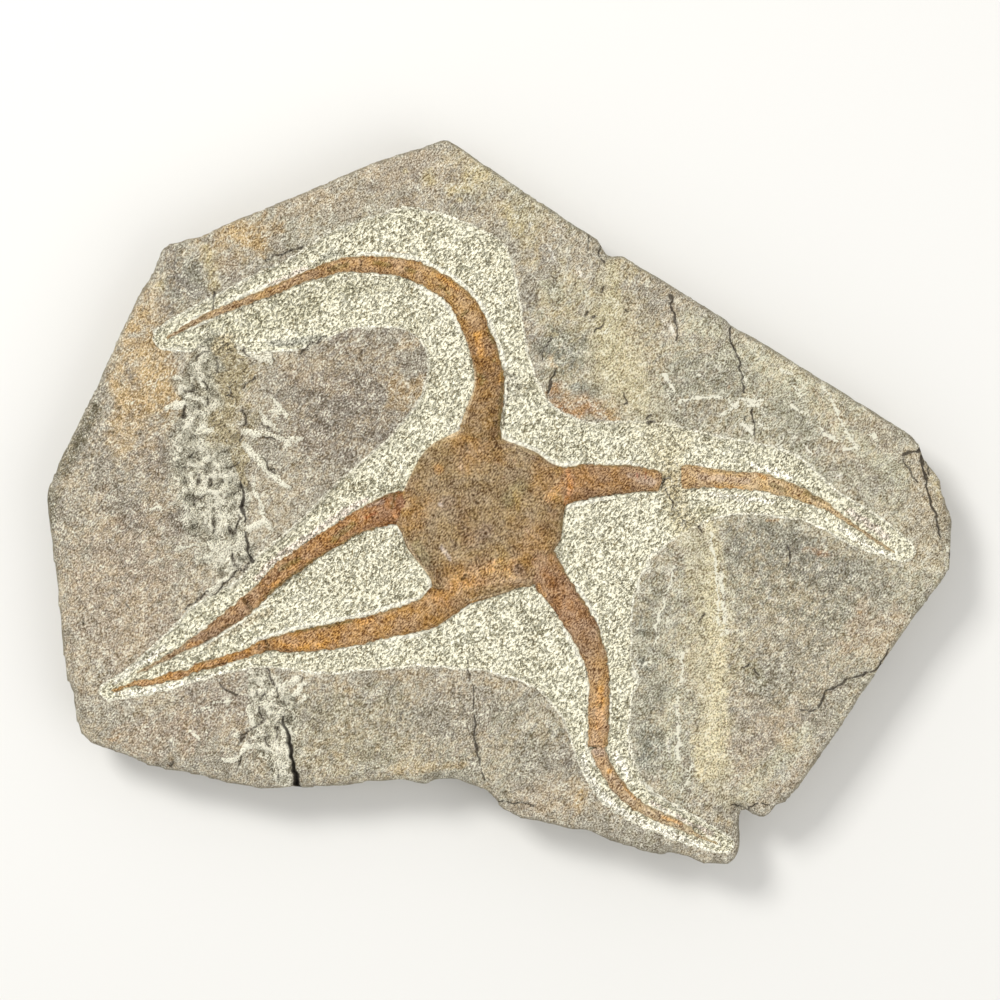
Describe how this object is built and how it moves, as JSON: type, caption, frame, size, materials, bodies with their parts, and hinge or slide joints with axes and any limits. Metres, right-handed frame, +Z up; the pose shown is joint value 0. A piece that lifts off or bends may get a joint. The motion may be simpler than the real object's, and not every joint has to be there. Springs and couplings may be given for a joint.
{
  "type": "starfish fossil",
  "caption": "Fossil brittle star with a round disc and long thin arms, standing out of a ground recess on a mended slab of sandstone.",
  "frame": {"origin": "under the middle of the slab's bounding box, on the surface it rests on", "axes": "+X along the slab's longest side, towards the straight arm's tip; +Y in the slab's plane, towards the curled arm; +Z up out of the star's face"},
  "size_m": [0.3, 0.24, 0.0257],
  "materials": {
    "sandstone": "rough split sandstone, grey tan with ochre stains",
    "fossil": "iron-stained fine-grained stone, orange brown"
  },
  "bodies": {
    "root": {"matrix_slab": "sandstone", "central_disc": "fossil", "arm_top": "fossil", "arm_upper_left": "fossil", "arm_lower_left": "fossil", "arm_lower_right": "fossil", "arm_lower_right_tip": "fossil", "arm_right_inner": "fossil", "arm_right_outer": "fossil"}
  },
  "joints": []
}
